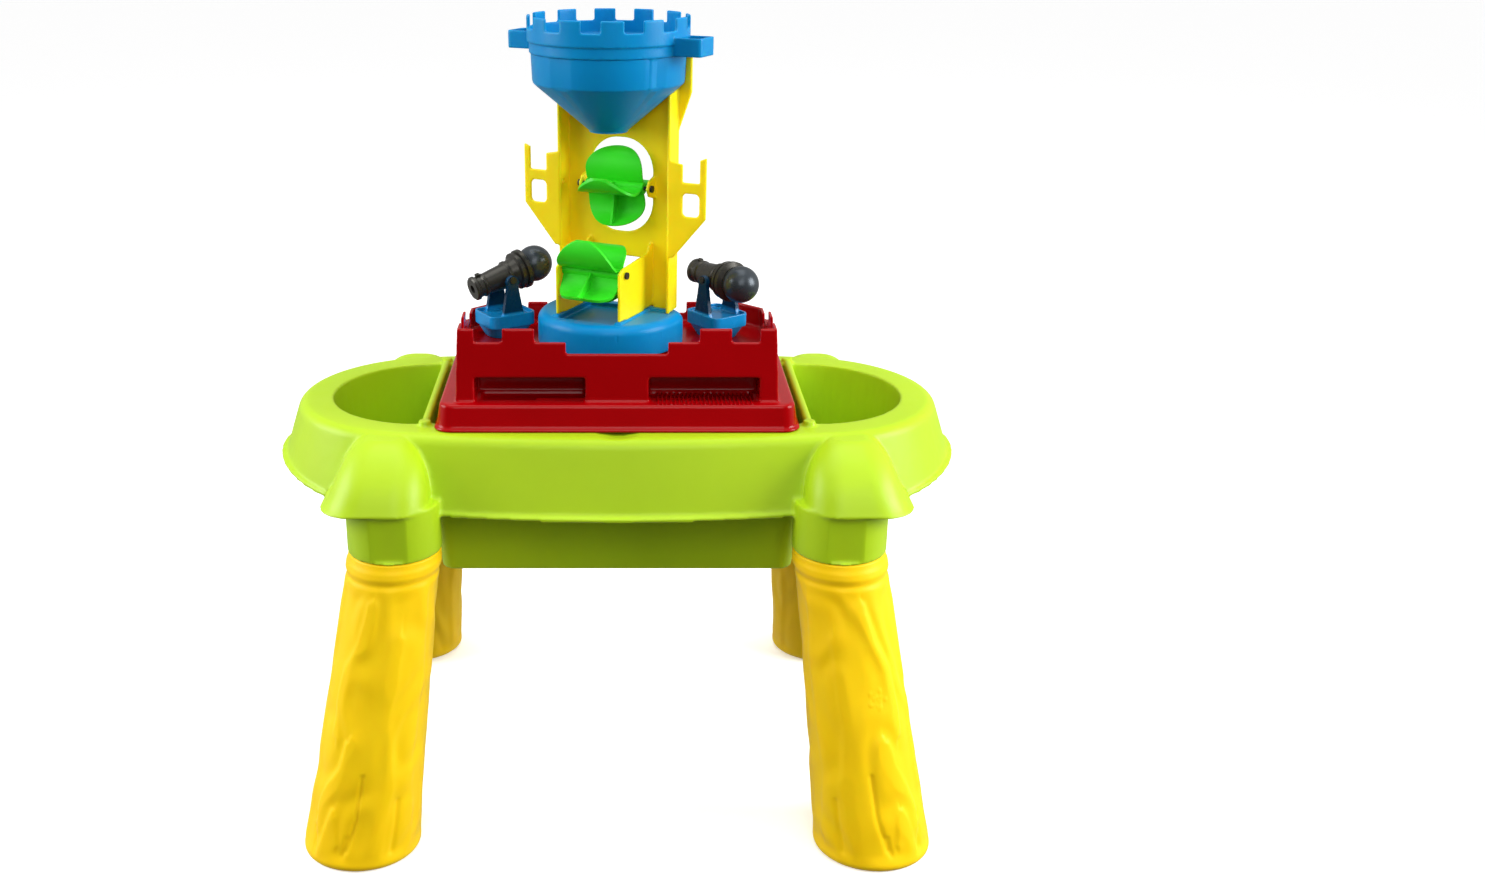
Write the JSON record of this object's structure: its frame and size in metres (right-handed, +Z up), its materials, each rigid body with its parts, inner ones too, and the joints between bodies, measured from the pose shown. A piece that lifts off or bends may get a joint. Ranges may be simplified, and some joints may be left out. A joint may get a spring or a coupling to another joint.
{
  "type": "sand and water play table",
  "caption": "Child's sand and water table: basin with end wells and tub, castle lid with toy cannons, and a scoop-wheel mill tower under a lift-off hopper.",
  "frame": {"origin": "on the floor under the middle of the basin", "axes": "+Z up, front of the table towards -Y, +X to the right seen from the front"},
  "size_m": [0.529, 0.397, 0.594],
  "materials": {
    "lime_plastic": "glossy moulded",
    "yellow_leg_plastic": "satin moulded, bark relief",
    "yellow_plastic": "glossy moulded",
    "red_plastic": "glossy moulded",
    "blue_plastic": "glossy moulded",
    "green_plastic": "glossy moulded",
    "navy_plastic": "glossy moulded",
    "gunmetal_plastic": "metallic-look moulded",
    "silver_blue_plastic": "metallic-look moulded",
    "steel_pin": "plain pin"
  },
  "bodies": {
    "table": {"basin": "lime_plastic", "leg_front_left": "yellow_leg_plastic", "leg_front_right": "yellow_leg_plastic", "leg_rear_left": "yellow_leg_plastic", "leg_rear_right": "yellow_leg_plastic"},
    "castle": {"castle_lid": "red_plastic"},
    "tower": {"tower_base": "blue_plastic", "tower_panel": "yellow_plastic", "upper_axle": "steel_pin", "lower_axle": "steel_pin"},
    "hopper": {"hopper": "blue_plastic"},
    "upper_wheel": {"upper_wheel": "green_plastic"},
    "lower_wheel": {"lower_wheel": "green_plastic"},
    "left_carriage": {"left_carriage": "navy_plastic"},
    "left_gun": {"left_barrel": "gunmetal_plastic", "left_breech_ball": "silver_blue_plastic"},
    "right_carriage": {"right_carriage": "navy_plastic"},
    "right_gun": {"right_barrel": "gunmetal_plastic", "right_breech_ball": "silver_blue_plastic"}
  },
  "joints": [
    {"name": "castle_lift", "type": "slide", "parent": "table", "child": "castle", "axis": [0, 0, 1], "range_m": [0, 0.12]},
    {"name": "tower_turn", "type": "hinge", "parent": "castle", "child": "tower", "pos_m": [-0.007, -0.008, 0.352], "axis": [0, 0, 1], "range_deg": [-90, 60]},
    {"name": "hopper_lift", "type": "slide", "parent": "tower", "child": "hopper", "axis": [0, 0, 1], "range_m": [0, 0.08]},
    {"name": "upper_wheel_spin", "type": "hinge", "parent": "tower", "child": "upper_wheel", "pos_m": [-0.0011, 0.00358, 0.469], "axis": [0.891, -0.454, 0], "continuous": true},
    {"name": "lower_wheel_spin", "type": "hinge", "parent": "tower", "child": "lower_wheel", "pos_m": [-0.0179, -0.02938, 0.411], "axis": [0.891, -0.454, 0], "continuous": true},
    {"name": "left_carriage_swivel", "type": "hinge", "parent": "castle", "child": "left_carriage", "pos_m": [-0.088, 0.017, 0.35], "axis": [0, 0, 1], "range_deg": [-5, 30]},
    {"name": "left_barrel_elevate", "type": "hinge", "parent": "left_carriage", "child": "left_gun", "pos_m": [-0.088, 0.017, 0.396], "axis": [-0.5299, 0.848, 0], "range_deg": [-4, 28]},
    {"name": "right_carriage_swivel", "type": "hinge", "parent": "castle", "child": "right_carriage", "pos_m": [0.078, 0.014, 0.35], "axis": [0, 0, 1], "range_deg": [-25, 25]},
    {"name": "right_barrel_elevate", "type": "hinge", "parent": "right_carriage", "child": "right_gun", "pos_m": [0.078, 0.014, 0.396], "axis": [0.8192, 0.5736, 0], "range_deg": [-12, 18]}
  ]
}
